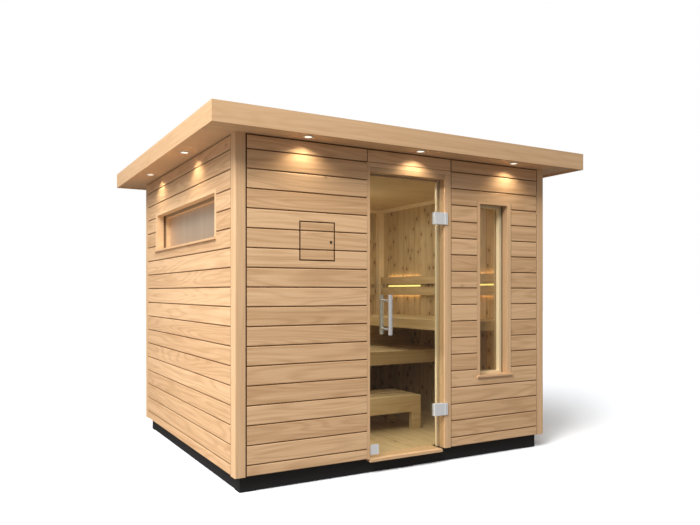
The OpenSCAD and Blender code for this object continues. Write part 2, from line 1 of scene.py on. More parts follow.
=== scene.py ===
# %% [markdown]
# # An outdoor sauna cabin
# The cabin arrives as a imported model whose pieces already have their true size and place. This
# lesson dresses it: boards are laid on the walls, every piece gets a finish, and the lamps are lit.
# The first step only loads the model and bakes each piece's place into its mesh.
# %% Load the imported cabin
import math

import bpy
import numpy as np
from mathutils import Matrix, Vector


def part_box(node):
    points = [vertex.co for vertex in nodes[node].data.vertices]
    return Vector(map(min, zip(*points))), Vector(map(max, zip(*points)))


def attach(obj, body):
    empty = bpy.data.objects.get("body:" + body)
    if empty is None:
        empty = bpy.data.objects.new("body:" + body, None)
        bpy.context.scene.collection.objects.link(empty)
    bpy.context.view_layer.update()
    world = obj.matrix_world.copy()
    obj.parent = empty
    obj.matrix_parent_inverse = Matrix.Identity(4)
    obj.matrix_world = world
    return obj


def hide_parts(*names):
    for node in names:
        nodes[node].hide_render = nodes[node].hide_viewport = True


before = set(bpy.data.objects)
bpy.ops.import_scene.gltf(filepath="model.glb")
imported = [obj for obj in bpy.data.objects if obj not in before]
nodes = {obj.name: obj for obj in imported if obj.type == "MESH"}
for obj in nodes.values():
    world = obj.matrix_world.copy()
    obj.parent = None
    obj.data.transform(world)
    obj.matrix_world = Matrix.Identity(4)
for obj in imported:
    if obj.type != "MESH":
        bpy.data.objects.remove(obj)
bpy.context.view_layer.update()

scene = bpy.context.scene
scene.view_settings.view_transform = "Standard"

# %% [markdown]
# ## The camera
# A picture of a building is easiest to match when the camera is level: upright edges stay upright.
# The lens is shifted up a little to frame the roof instead of tilting the camera.
# %% Camera
lens = bpy.data.cameras.new("eye_lens")
lens.lens = 34.08
lens.shift_y = 0.0427
lens.clip_end = 200.0
eye = bpy.data.objects.new("eye", lens)
eye.location = (-2.6722, -4.9757, 1.2308)
eye.rotation_euler = (math.pi / 2, 0.0, -math.radians(29.83))
scene.collection.objects.link(eye)
scene.camera = eye
print("camera height:", eye.location.z)

# %% [markdown]
# ## Shader maths that reads like Python
# A node tree is hard to read when it is written as calls. A small class wraps a socket, so that
# an expression such as `1 - mask * 0.5` adds the Math nodes by itself. Every other node comes
# from one method that takes its type, its settings and what goes into its sockets.
# %% Graph and Wire
class Wire:
    """A socket in a graph. Arithmetic on wires adds Math nodes and returns the result's wire."""

    def __init__(self, graph, socket):
        self.graph, self.socket = graph, socket

    def math(self, operation, *others, first=None):
        values = [self if first is None else first, *others]
        node = self.graph.node("ShaderNodeMath", {"operation": operation}, dict(enumerate(values)))
        return Wire(self.graph, node.outputs[0])

    def __add__(self, other):
        return self.math("ADD", other)

    __radd__ = __add__

    def __mul__(self, other):
        return self.math("MULTIPLY", other)

    __rmul__ = __mul__

    def __sub__(self, other):
        return self.math("SUBTRACT", other)

    def __rsub__(self, other):
        return self.math("SUBTRACT", self, first=other)

    def step(self, low, high):
        """0 below low, 1 above high, and a smooth rise between them."""
        settings = {"interpolation_type": "SMOOTHSTEP"}
        node = self.graph.node("ShaderNodeMapRange", settings, {0: self, 1: low, 2: high})
        return Wire(self.graph, node.outputs[0])


class Graph:
    """A material's node tree, ending in one shader."""

    def __init__(self, name):
        self.material = bpy.data.materials.new(name)
        self.material.use_nodes = True
        self.tree = self.material.node_tree
        self.tree.nodes.clear()
        self.output = self.tree.nodes.new("ShaderNodeOutputMaterial")

    def node(self, kind, settings=None, values=None):
        """One node: its settings are set first, then its sockets get values or links."""
        made = self.tree.nodes.new(kind)
        for key, value in (settings or {}).items():
            setattr(made, key, value)
        for key, value in (values or {}).items():
            if isinstance(value, Wire):
                self.tree.links.new(value.socket, made.inputs[key])
            else:
                made.inputs[key].default_value = value
        return made

    def wire(self, kind, settings=None, values=None, output=0):
        return Wire(self, self.node(kind, settings, values).outputs[output])

    def blend(self, factor, low, high):
        """A colour between low and high."""
        low, high = ((*c, 1.0) if isinstance(c, tuple) else c for c in (low, high))
        return self.wire("ShaderNodeMix", {"data_type": "RGBA"}, {0: factor, 6: low, 7: high}, 2)

    def stretch(self, vector, factors):
        """A vector scaled by its own factor along each axis."""
        return self.wire("ShaderNodeVectorMath", {"operation": "MULTIPLY"}, {0: vector, 1: factors})

    def noise(self, vector, scale=1.0, detail=2.0, rough=0.5, twist=0.0):
        values = {"Vector": vector, "Scale": scale, "Detail": detail, "Roughness": rough, "Distortion": twist}
        return self.wire("ShaderNodeTexNoise", None, values)

    def bump(self, height, distance, strength=1.0):
        return self.wire("ShaderNodeBump", None, {"Strength": strength, "Distance": distance, "Height": height})

    def shader(self, values):
        """The main shader, linked to the output. Returns the finished material."""
        made = self.node("ShaderNodeBsdfPrincipled", None, values)
        self.tree.links.new(made.outputs[0], self.output.inputs[0])
        return self.material


print("shader tools ready")

# %% [markdown]
# ## Softwood
# Planed larch and spruce show three things: soft bands of growth rings that run along the board,
# fine fibres, and round knots with a dark rim. Each is a noise on coordinates that are stretched
# along the grain. A board carries those coordinates as an attribute, so no two boards are alike;
# a solid post reads its own object coordinates, turned so that x runs along the grain.
# %% Wood
def wood(name, pale, deep, knot, along="grain", knots=0.5, rough=0.55, figure=0.22, lines=None, swell=1.0):
    """Wood whose rings mix pale and deep. along is "grain", or the axis x, y or z of a solid.

    knots is the share of cells that hold a knot, and swell makes the knots larger.
    """
    g = Graph(name)
    if along == "grain":
        place = g.wire("ShaderNodeAttribute", {"attribute_name": "grain"}, None, 1)
        tone = g.wire("ShaderNodeAttribute", {"attribute_name": "tone"}, None, 2)
        groove = g.wire("ShaderNodeAttribute", {"attribute_name": "edge"}, None, 2)
    else:
        turned = {"x": (0, 0, 0), "y": (0, 0, -math.pi / 2), "z": (0, math.pi / 2, 0)}[along]
        coordinates = g.wire("ShaderNodeTexCoord", None, None, 3)
        place = g.wire("ShaderNodeMapping", None, {"Vector": coordinates, "Rotation": turned})
        tone = g.noise(g.stretch(place, (0.15, 3.0, 3.0)), 1.0, 0.0)
    warp = g.noise(g.stretch(place, (0.55, 6.0, 6.0)), 1.0, 1.5)
    rings = (warp * 15.0).math("PINGPONG", 0.5) * 2.0
    streaks = g.noise(g.stretch(place, (0.8, 34.0, 34.0)), 1.0, 2.0, 0.6)
    fibres = g.noise(g.stretch(place, (5.0, 300.0, 300.0)), 1.0, 2.0, 0.6)
    spots = g.stretch(place, (6.5, 10.0, 10.0))
    flat = {"voronoi_dimensions": "2D" if along == "grain" else "3D"}
    near = g.wire("ShaderNodeTexVoronoi", flat, {"Vector": spots, "Scale": 1.0})
    size = g.wire("ShaderNodeTexVoronoi", flat, {"Vector": spots, "Scale": 1.0}, 1)
    chance = g.wire("ShaderNodeSeparateColor", None, {0: size}, 0).step(1.0 - knots, 1.02 - knots)
    core = (1.0 - near.step(0.03 * swell, 0.085 * swell)) * chance
    halo = (1.0 - near.step(0.08 * swell, 0.26 * swell)) * chance
    mix = rings.step(0.3, 1.0) * figure + streaks * 0.9 + fibres * 0.5 + tone * 0.3 + halo * 0.25
    shade = mix - (0.35 + figure * 0.4)
    colour = g.blend(core * 0.75, g.blend(shade.step(0.0, 1.0), pale, deep), knot)
    height = fibres * 0.5 + rings * 0.15 - core * 0.4
    # Painted shade: down the chamfers of each V-groove the colour turns dark brown, standing in for the shade
    # in the joints.
    if along == "grain":
        colour = g.blend(groove.step(0.1, 1.0) * 0.8, colour, (0.2, 0.1, 0.04))
    if lines:
        colour, height = lines(g, place, colour, height)
    return g.shader({
        "Base Color": colour,
        "Roughness": rough + fibres * 0.15,
        "Normal": g.bump(height, 0.0006, 0.5),
    })


larch = dict(pale=(0.83, 0.555, 0.325), deep=(0.55, 0.325, 0.165), knot=(0.20, 0.09, 0.035))
# The front and back fascias take this darker copy of the trim larch as painted shade; the side fascias keep the
# trim colour.
shaded_fascia = dict(pale=(0.745, 0.500, 0.295), deep=(0.585, 0.36, 0.19), knot=(0.30, 0.14, 0.06))
trim = dict(pale=(0.80, 0.535, 0.315), deep=(0.63, 0.39, 0.205), knot=(0.30, 0.14, 0.06))
spruce = dict(pale=(0.70, 0.53, 0.30), deep=(0.52, 0.365, 0.18), knot=(0.10, 0.045, 0.02))
clean = dict(pale=(0.97, 0.80, 0.53), deep=(0.88, 0.68, 0.42), knot=(0.30, 0.15, 0.06))
wood_cladding = wood("larch_cladding", **larch, knots=0.024)
wood_inner = wood("spruce_panel", **spruce, knots=0.6, swell=1.8)
wood_trim = {axis: wood("larch_trim_" + axis, **trim, along=axis, knots=0.03, figure=0.12) for axis in "xyz"}
wood_bench = {axis: wood("bench_wood_" + axis, **spruce, along=axis, knots=0.12) for axis in "xy"}
print("woods:", 2 + len(wood_trim) + len(wood_bench))

# %% [markdown]
# ## Frames with a shadow groove
# Behind the casings of the door and windows runs a groove, and its shade is painted dark into the
# frame's colour; the door's casing is made of two strips with a fine joint. The window's reveal and a
# band under the door's head joint also carry painted shade, and the door's inner lip painted light.
# All are bands of the frame's own depth, height or width, so one helper blends a colour into what
# lies between two levels of a coordinate.
# %% Painted groove shade, painted lip light and joints
def banded(bands):
    """Blends bands (axis, low, high, strength, colour) of the object coordinates."""
    def lines(g, place, colour, height):
        spot = g.wire("ShaderNodeTexCoord", None, None, 3)
        split = g.node("ShaderNodeSeparateXYZ", None, {0: spot})
        for axis, low, high, strength, tone in bands:
            level = Wire(g, split.outputs["xyz".index(axis)])
            inside = level.step(low - 0.0004, low + 0.0004) * (1.0 - level.step(high - 0.0004, high + 0.0004))
            colour = g.blend(inside * strength, colour, tone)
        return colour, height
    return lines


def jointed(axis, pitch, strength=0.75):
    """Fine dark joints between boards, square to an axis and one pitch apart."""
    def lines(g, place, colour, height):
        split = g.node("ShaderNodeSeparateXYZ", None, {0: g.wire("ShaderNodeTexCoord", None, None, 3)})
        away = (Wire(g, split.outputs["xyz".index(axis)]) * (1.0 / pitch)).math("PINGPONG", 0.5)
        line = 1.0 - away.step(0.008, 0.022)
        return g.blend(line * strength, colour, (0.10, 0.05, 0.02)), height - line * 0.5
    return lines


face_y, face_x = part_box("front_wall_left")[0].y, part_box("left_wall")[0].x
head_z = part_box("front_wall_over_door")[0].z
strip = head_z - 0.0315
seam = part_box("door_jamb_right")[1].x - 0.017
# dark colours both the real joints of the jamb and head and the painted shade in the grooves and recesses.
dark, lip_painted_light = (0.075, 0.034, 0.013), (1.0, 0.85, 0.62)
# Painted shade: this band darkens the groove behind the door casing, where shade falls.
door_groove_shade = ("y", face_y + 0.064, face_y + 0.0838, 0.5, dark)
# Painted light: this band lightens the door's inner lip to pale cream, standing in for the light on it.
door_lip_painted_light = ("y", face_y + 0.0838, face_y + 0.106, 0.85, lip_painted_light)
jamb_wood = wood("jamb_wood", **trim, along="z", knots=0.03, figure=0.12, lines=banded([
    door_groove_shade, door_lip_painted_light, ("x", seam - 0.0008, seam + 0.0008, 0.7, dark),
    ("z", strip - 0.0008, strip + 0.0008, 0.5, dark)]))
# The head has a fine dark joint under its upper strip; the 4 cm band below it is darkened as painted shade of
# the slight recess.
head_wood = wood("head_wood", **trim, along="x", knots=0.03, figure=0.12, lines=banded([
    door_groove_shade, ("z", strip - 0.0008, strip + 0.0012, 0.8, dark), ("z", strip - 0.04, strip, 0.22, dark)]))
groove_near, groove_far = face_y + 0.056, face_y + 0.0758
# Painted shade: the window's reveal is darkened and its groove behind the casing painted near-black. The inner
# frame behind is pale cream, partly its own wood and partly painted light.
front_frame_wood = wood("front_frame_wood", **trim, along="z", knots=0.03, figure=0.12, lines=banded([
    ("y", face_y + 0.003, groove_near, 0.5, (0.42, 0.26, 0.13)),
    ("y", groove_near, groove_far, 0.95, (0.04, 0.018, 0.008)),
    ("y", groove_far, face_y + 0.2, 0.8, (0.97, 0.84, 0.55))]))
honey = dict(pale=(0.86, 0.61, 0.37), deep=(0.72, 0.47, 0.26), knot=(0.30, 0.15, 0.06))
# Painted shade: the band darkens the groove behind the side window's casing.
side_frame_wood = wood("side_frame_wood", **honey, along="y", knots=0.03, figure=0.12,
                       lines=banded([("x", face_x + 0.056, face_x + 0.076, 0.8, dark)]))
shaded_fascia_wood = wood("shaded_fascia_x", **shaded_fascia, along="x", knots=0.02, figure=0.12)
ceiling_wood = wood("ceiling_wood", **spruce, along="x", knots=0.1, lines=jointed("y", 0.096))
floor_wood = wood("floor_wood", **spruce, along="y", knots=0.25, swell=1.6, lines=jointed("x", 0.12, 0.5))
print("frame woods ready")

# %% [markdown]
# ## Paint, rubber, roofing, steel and glass
# The plinth is near-black with a faint film of dust, and the roof is a matt sheet. Brushed steel
# owes its look to fine scratches that all run one way, so its roughness follows a stretched noise.
# The glass is thin: light passes straight through, and only grazing rays are mirrored.
# %% Other finishes
def plain(name, colour, rough, mottled=0.15, grain_size=40.0, metal=0.0, bumps=0.0003):
    """A painted or moulded surface whose colour and gloss vary a little."""
    g = Graph(name)
    spot = g.wire("ShaderNodeTexCoord", None, None, 3)
    cloud = g.noise(spot, 3.0, 4.0, 0.6)
    fine = g.noise(spot, grain_size, 3.0, 0.6)
    darker = tuple(c * (1.0 - mottled) for c in colour)
    lighter = tuple(min(1.0, c * (1.0 + mottled)) for c in colour)
    return g.shader({
        "Base Color": g.blend(cloud * 0.6 + fine * 0.4, darker, lighter),
        "Roughness": rough + (fine - 0.5) * 0.2,
        "Metallic": metal,
        "Normal": g.bump(fine, bumps, 0.6),
    })


def brushed(name, colour, stretch, metal=1.0, rough=0.26):
    """Steel brushed along one axis."""
    g = Graph(name)
    spot = g.wire("ShaderNodeTexCoord", None, None, 3)
    lines = g.noise(g.stretch(spot, stretch), 1.0, 3.0, 0.7)
    return g.shader({
        "Base Color": g.blend(lines, tuple(c * 0.85 for c in colour), colour),
        "Roughness": rough + lines * 0.16,
        "Metallic": metal,
        "Normal": g.bump(lines, 0.0002, 0.3),
    })


def thin_glass(name, tint, mirror=0.6):
    """Clear glass: straight through, tinted, with a Fresnel mirror on top."""
    g = Graph(name)
    through = g.wire("ShaderNodeBsdfTransparent", None, {"Color": (*tint, 1.0)})
    gloss = g.wire("ShaderNodeBsdfGlossy", None, {"Color": (1, 1, 1, 1), "Roughness": 0.02})
    fresnel = g.wire("ShaderNodeFresnel", None, {"IOR": 1.45})
    mixed = g.wire("ShaderNodeMixShader", None, {0: fresnel * mirror, 1: through, 2: gloss})
    g.tree.links.new(mixed.socket, g.output.inputs[0])
    return g.material


def screen_glass(name, colour, strength):
    """Glass with a sun screen: mostly a calm, blurred reflection, faintly striped from top to bottom."""
    g = Graph(name)
    spot = g.wire("ShaderNodeTexCoord", None, None, 3)
    # Painted reflection: faint upright stripes stand for the inner boards seen in the glass, in the film's
    # colour and strength.
    painted_board_stripes = g.noise(g.stretch(spot, (1.0, 9.0, 0.4)), 1.0, 2.0)
    darker = tuple(c * 0.93 for c in colour)
    film = g.wire("ShaderNodeBsdfGlossy", None, {"Color": g.blend(painted_board_stripes.step(0.35, 0.65), darker, colour),
                                                 "Roughness": 0.45})
    through = g.wire("ShaderNodeBsdfTransparent", None, {"Color": (0.8, 0.78, 0.72, 1.0)})
    veil = g.wire("ShaderNodeBsdfDiffuse", None, {"Color": (0.62, 0.50, 0.38, 1.0)})
    film = g.wire("ShaderNodeMixShader", None, {0: 0.35, 1: film, 2: veil})
    mixed = g.wire("ShaderNodeMixShader", None, {0: strength + (painted_board_stripes - 0.5) * 0.04, 1: through, 2: film})
    g.tree.links.new(mixed.socket, g.output.inputs[0])
    return g.material


def lit(name, colour, strength):
    """A glowing cover."""
    g = Graph(name)
    spot = g.wire("ShaderNodeTexCoord", None, None, 3)
    glow = g.blend(g.noise(spot, 30.0) * 0.3, colour, tuple(c * 0.9 for c in colour))
    return g.shader({
        "Base Color": glow, "Emission Color": glow, "Emission Strength": strength, "Roughness": 0.4})


def downlight(name, colour, strength, level):
    """A lamp whose sunk lens glows and whose rim is white enamel: the lens is what lies above level."""
    g = Graph(name)
    coordinates = g.node("ShaderNodeTexCoord")
    height = Wire(g, g.node("ShaderNodeSeparateXYZ", None, {0: Wire(g, coordinates.outputs[3])}).outputs[2])
    facing = Wire(g, g.node("ShaderNodeSeparateXYZ", None, {0: Wire(g, coordinates.outputs[1])}).outputs[2])
    lens = height.step(level - 0.0003, level + 0.0003) * (0.0 - facing).step(0.85, 0.95)
    return g.shader({
        "Base Color": g.blend(lens, (0.62, 0.60, 0.56), (0.9, 0.9, 0.88)),
        "Emission Color": g.blend(lens, (0.0, 0.0, 0.0), colour), "Emission Strength": strength,
        "Roughness": 0.4})


plinth_black = plain("plinth_black", (0.017, 0.0165, 0.0175), 0.75)
pad_rubber = plain("pad_rubber", (0.015, 0.015, 0.015), 0.8)
roof_sheet = plain("roof_sheet", (0.055, 0.056, 0.06), 0.75, 0.25, 400.0, 0.0, 0.0006)
steel = brushed("brushed_steel", (0.93, 0.94, 0.97), (900.0, 900.0, 12.0), 0.8, 0.2)
satin = brushed("satin_steel", (0.86, 0.88, 0.93), (12.0, 900.0, 900.0), 0.25, 0.35)
door_clear = thin_glass("door_clear", (0.93, 0.94, 0.90), 0.35)
window_clear = thin_glass("window_clear", (0.89, 0.86, 0.81), 0.5)
side_clear = screen_glass("side_clear", (0.93, 0.80, 0.66), 0.93)
white_enamel = downlight("lamp_white", (1.0, 0.93, 0.80), 1.15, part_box("downlights")[0].z + 0.001)
yellow_strip = lit("strip_yellow", (1.0, 0.93, 0.32), 1.1)
# The wall's core: near-black partly as painted shade, since it is what shows dark in the gaps between the
# boards.
wall_core = plain("wall_core", (0.05, 0.035, 0.02), 0.9)
end_grain = plain("end_grain", (0.16, 0.08, 0.035), 0.85)
print("finishes ready")

# %% [markdown]
# ## Finishes on the carried-over pieces
# Pieces whose solid is right keep it and only get a material. The grain of a post runs up and
# that of a rail runs along it, so each long piece names the axis that its fibres follow.
# %% Assign materials
def finish(material, *names):
    for name in names:
        slots = nodes[name].data.materials
        slots.clear()
        slots.append(material)


finish(plinth_black, "plinth_front", "plinth_back", "plinth_left", "plinth_right")
finish(pad_rubber, "plinth_pads")
finish(roof_sheet, "roof_deck")
finish(wood_trim["z"], "corner_posts")
finish(jamb_wood, "door_jamb_left", "door_jamb_right")
finish(head_wood, "door_head")
finish(front_frame_wood, "front_window_frame")
finish(side_frame_wood, "side_window_frame")
finish(shaded_fascia_wood, "fascia_front", "fascia_back")
finish(wood_trim["x"], "door_sill", "front_window_sill")
finish(wood_trim["y"], "fascia_left", "fascia_right")
finish(wood_trim["y"], "side_window_sill")
finish(wood_bench["x"], "upper_bench_back", "lower_bench", "bench_skirt", "step_stool")
finish(ceiling_wood, "ceiling")
finish(floor_wood, "floor")
finish(wood_bench["y"], "upper_bench_right", "backrests", "floor_joists")
finish(wood("clean_trim", **clean, along="z", knots=0.02, figure=0.12), "inner_trim")
finish(wood_trim["x"], "soffit")
finish(satin, "frame_hinge_leaves", "door_hinge_leaves", "door_catch")
finish(steel, "door_handle")
finish(plain("lock_dark", (0.07, 0.06, 0.055), 0.4, metal=0.6), "hatch_lock")
finish(door_clear, "door_glass")
finish(window_clear, "front_window_glass")
finish(side_clear, "side_window_glass")
finish(white_enamel, "downlights")
finish(yellow_strip, "led_strips")
print("finished nodes:", len(nodes))

# %% [markdown]
# ## Boards
# The cladding is tongue-and-groove: each board has a small chamfer on both edges, so a V-groove
# shows at every joint, with a dark slot at its bottom where the core shows. A texture could only
# fake that, so each board is a closed solid; its chamfers also carry a painted shade in the wood's
# colour. A wall is a list of rectangles, cut round its openings, and all boards of a wall are
# computed as one array.
# %% Board maker
BOARD = 0.121
rng = np.random.default_rng(7)


def cut_boards(length, low, high, start, width, holes):
    """Rectangles (a0, a1, h0, h1, low edge free, high edge free, board) that tile a wall.

    Board k covers start + k * width upwards; a hole (a0, a1, h0, h1) splits what it crosses.
    """
    first = math.floor((low - start) / width + 1e-6)
    last = math.ceil((high - start) / width - 1e-6)
    tiles = []
    for k in range(first, last):
        bottom, top = max(low, start + k * width), min(high, start + (k + 1) * width)
        levels = sorted({bottom, top, *(h for hole in holes for h in hole[2:] if bottom < h < top)})
        for h0, h1 in zip(levels[:-1], levels[1:]):
            spans = [(0.0, length)]
            for a0, a1, b0, b1 in holes:
                if b0 < h1 - 1e-6 and b1 > h0 + 1e-6:
                    spans = [s for x0, x1 in spans for s in ((x0, min(x1, a0)), (max(x0, a1), x1))
                             if s[1] - s[0] > 1e-4]
            tiles += [(x0, x1, h0, h1, h0 == bottom, h1 == top, k) for x0, x1 in spans]
    return np.array(tiles, float)


def board_arrays(tiles, origin, along, outward, depth, chamfer=0.005, gap=0.0016, back=0.0):
    """Corners, grain, tone and edge of boards: a six-point profile carried from a0 to a1 on each tile.

    The profile steps in by the chamfer at both outer edges. The grain attribute is (distance
    along, distance across, depth) plus one random shift for each board, and edge rises from 0 on
    the face to 1 down each chamfer, where the wood darkens its colour as painted shade.
    """
    a, n = np.array(along, float), np.array(outward, float)
    u = np.cross(n, a)
    a0, a1, h0, h1, free0, free1, index = tiles.T
    c0, c1 = np.where(free0 > 0, chamfer, 0.0003), np.where(free1 > 0, chamfer, 0.0003)
    g0, g1 = np.where(free0 > 0, gap, 0.0), np.where(free1 > 0, gap, 0.0)
    lo, hi = h0 + g0, h1 - g1
    zero = np.zeros_like(lo)
    across = np.stack([lo, lo, lo + c0, hi - c1, hi, hi], 1)
    inward = np.stack([zero + depth, c0, zero, zero, c1, zero + depth], 1) + back
    run = np.stack([a0, a1], 1)
    spot = (np.array(origin, float) + run[:, :, None, None] * a + across[:, None, :, None] * u
            - inward[:, None, :, None] * n)
    boards, which = np.unique(index, return_inverse=True)
    shift = rng.uniform(0.0, 9.0, (len(boards), 3))[which]
    grain = np.stack(np.broadcast_arrays(run[:, :, None], (across - h0[:, None])[:, None, :],
                                         inward[:, None, :]), 3) + shift[:, None, None, :]
    tone = np.broadcast_to(rng.uniform(0.0, 1.0, len(boards))[which][:, None, None], spot.shape[:3])
    bevel = np.stack([free0, free0, zero, zero, free1, free1], 1)
    edge = np.broadcast_to(bevel[:, None, :], spot.shape[:3])
    return spot.reshape(-1, 3), grain.reshape(-1, 3), tone.reshape(-1), edge.reshape(-1)


def board_faces(count):
    """Six sides and two ends for each board of twelve corners."""
    p = np.arange(6)
    q = np.roll(p, -1)
    sides = np.stack([p, q, q + 6, p + 6], 1)
    base = 12 * np.arange(count)[:, None, None]
    quads = (sides[None] + base).reshape(-1, 4).tolist()
    ends = np.stack([p[::-1], p + 6])
    return quads + (ends[None] + base).reshape(-1, 6).tolist()


def board_piece(name, sets, material, body, slot, *replaced):
    """One object from several sets of boards, with its attributes, riding on a body."""
    spots, grains, tones, edges = (np.concatenate(parts) for parts in zip(*sets))
    count = len(spots) // 12
    mesh = bpy.data.meshes.new(name)
    mesh.from_pydata(spots.tolist(), [], board_faces(count))
    mesh.attributes.new("grain", "FLOAT_VECTOR", "POINT").data.foreach_set("vector", grains.ravel())
    mesh.attributes.new("tone", "FLOAT", "POINT").data.foreach_set("value", tones.ravel())
    mesh.attributes.new("edge", "FLOAT", "POINT").data.foreach_set("value", edges.ravel())
    mesh.materials.append(material)
    mesh.materials.append(end_grain)
    mesh.polygons.foreach_set("material_index", np.repeat([0, 1], [6 * count, 2 * count]))
    piece = bpy.data.objects.new(name, mesh)
    scene.collection.objects.link(piece)
    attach(piece, body)
    if replaced:
        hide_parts(*replaced)
    print(name, "boards:", count)
    return piece


# %% [markdown]
# ## Clad walls
# Each wall is made as it is built: cladding outside, a dark core, and upright boards inside. The
# core's near-black is partly painted shade, as it shows in the gaps between boards. The board
# joints are at one level all round, so the corners line up.
# %% Wall sizes
foot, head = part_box("back_wall")[0].z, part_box("back_wall")[1].z
left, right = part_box("left_wall")[0].x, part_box("right_wall")[1].x
front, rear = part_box("front_wall_left")[0].y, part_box("back_wall")[1].y
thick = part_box("back_wall")[1].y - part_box("back_wall")[0].y
joint_level = 2.1095
skin, lining = 0.020, 0.016
frames = {name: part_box(name) for name in ("front_window_frame", "side_window_frame", "hatch_door")}


def grown(box, x, z, pin=0.0):
    """A box as a hole (x0, x1, z0, z1), wider by x and higher by z, less pin, on each side."""
    lo, hi = box
    return (lo.x - x, hi.x + x, lo.z - z + pin, hi.z + z - pin)


def wall(name, lo, hi, outward, holes, replaced, end_gap=(0.003, 0.003), side_gap=0.0):
    """A wall between two corners: boards on a dark core, cut round its openings.

    The boards stop short of the posts by end_gap and of their openings by side_gap.
    """
    n = np.array(outward, float)
    a = np.cross(np.array([0, 0, 1.0]), n)
    face = np.where(n > 0, hi, lo)
    start = np.where(a > 0, lo, hi) * np.abs(a) + face * np.abs(n)
    length = float(np.abs((np.array(hi) - np.array(lo)) @ a))
    start[2] = 0.0
    sign = 1.0 if a.sum() > 0 else -1.0
    edge = float(start @ np.abs(a))
    cut = [tuple(sorted((sign * (h[0] - edge), sign * (h[1] - edge)))) + h[2:] for h in holes]
    level = joint_level - 40 * BOARD
    outer = cut_boards(length, lo[2], hi[2] - 0.005, level, BOARD, cut)
    outer[:, 0] += np.where(outer[:, 0] < 1e-4, end_gap[0], side_gap)
    outer[:, 1] -= np.where(outer[:, 1] > length - 1e-4, end_gap[1], side_gap)
    core = cut_boards(length, lo[2], hi[2], lo[2], hi[2] - lo[2], cut)
    clad = board_arrays(outer, start, a, n, skin)
    middle = board_arrays(core, start, a, n, thick - skin - lining, 0.0003, 0.0, skin)
    piece = board_piece(name, [clad], wood_cladding, "cabin", "cladding_wood", *replaced)
    board_piece(name + "_core", [middle], wall_core, "cabin", "cladding_wood")
    return piece


def hatch_panel(name, room, start, replaced):
    """The hatch's own boards: their joints run on from the cladding's."""
    lo, hi = room
    tiles = cut_boards(hi.x - lo.x, lo.z, hi.z, joint_level - 40 * BOARD, BOARD, [])
    tiles[:, 4] = np.abs(tiles[:, 2] - lo.z) > 1e-4
    tiles[:, 5] = np.abs(tiles[:, 3] - hi.z) > 1e-4
    panel = board_arrays(tiles, (lo.x, start, 0.0), (1, 0, 0), (0, -1, 0), hi.y - start)
    return board_piece(name, [panel], wood_cladding, "hatch", "cladding_wood", *replaced)


b = {name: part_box(name) for name in
     ("front_wall_left", "front_wall_over_door", "front_wall_right", "left_wall", "right_wall", "back_wall")}
hatch_hole = grown(frames["hatch_door"], 0.009, 0.002, 0.004)
wall("clad_front_left", *b["front_wall_left"], (0, -1, 0), [hatch_hole], ["front_wall_left"], (0.009, 0.002))
wall("clad_over_door", *b["front_wall_over_door"], (0, -1, 0), [], ["front_wall_over_door"])
wall("clad_front_right", *b["front_wall_right"], (0, -1, 0),
     [grown(frames["front_window_frame"], 0, 0)], ["front_wall_right"], (0.005, 0.008), 0.003)
lo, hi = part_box("hatch_door")
lo.z, hi.z = lo.z + 0.010, hi.z - 0.010
hatch_panel("hatch_boards", (lo, hi), lo.y, ["hatch_door"])
lo, hi = frames["side_window_frame"]
wall("clad_left", *b["left_wall"], (-1, 0, 0), [(lo.y, hi.y, lo.z, hi.z)], ["left_wall"])
wall("clad_right", *b["right_wall"], (1, 0, 0), [], ["right_wall"])
wall("clad_back", *b["back_wall"], (0, 1, 0), [], ["back_wall"])

# %% [markdown]
# ## Lining
# Inside, narrow upright boards cover the walls. They are the same kind of solid as the cladding,
# stood on end by passing the upward direction as the board's own.
# %% Inner panels
def lining_set(corner, width, low, high, outward, holes=()):
    """Upright boards on an inner face; corner is where the row starts, seen from inside."""
    tiles = cut_boards(high - low, 0.0, width, 0.0, 0.096, list(holes))
    return board_arrays(tiles, corner, (0, 0, 1), outward, lining, 0.003, 0.0008)


x0, x1, y0, y1 = left + thick, right - thick, front + thick, rear - thick
low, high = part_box("floor")[1].z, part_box("ceiling")[0].z
door_lo, door_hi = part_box("door_jamb_left")[0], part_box("door_jamb_right")[1]
fw_lo, fw_hi = frames["front_window_frame"]
sw_lo, sw_hi = frames["side_window_frame"]
door_top = b["front_wall_over_door"][0].z
door_hole = (0.0, door_top - low, door_lo.x - x0, door_hi.x - x0)
front_hole = (fw_lo.z - low, fw_hi.z - low, fw_lo.x - x0, fw_hi.x - x0)
side_hole = (sw_lo.z - low, sw_hi.z - low, y1 - sw_hi.y, y1 - sw_lo.y)
inner = [
    lining_set((x1, y1, low), x1 - x0, low, high, (0, -1, 0)),
    lining_set((x1, y0, low), y1 - y0, low, high, (-1, 0, 0)),
    lining_set((x0, y1, low), y1 - y0, low, high, (1, 0, 0), [side_hole]),
    lining_set((x0, y0, low), x1 - x0, low, high, (0, 1, 0), [door_hole, front_hole]),
]
board_piece("lining", inner, wood_inner, "cabin", "inner_wood")

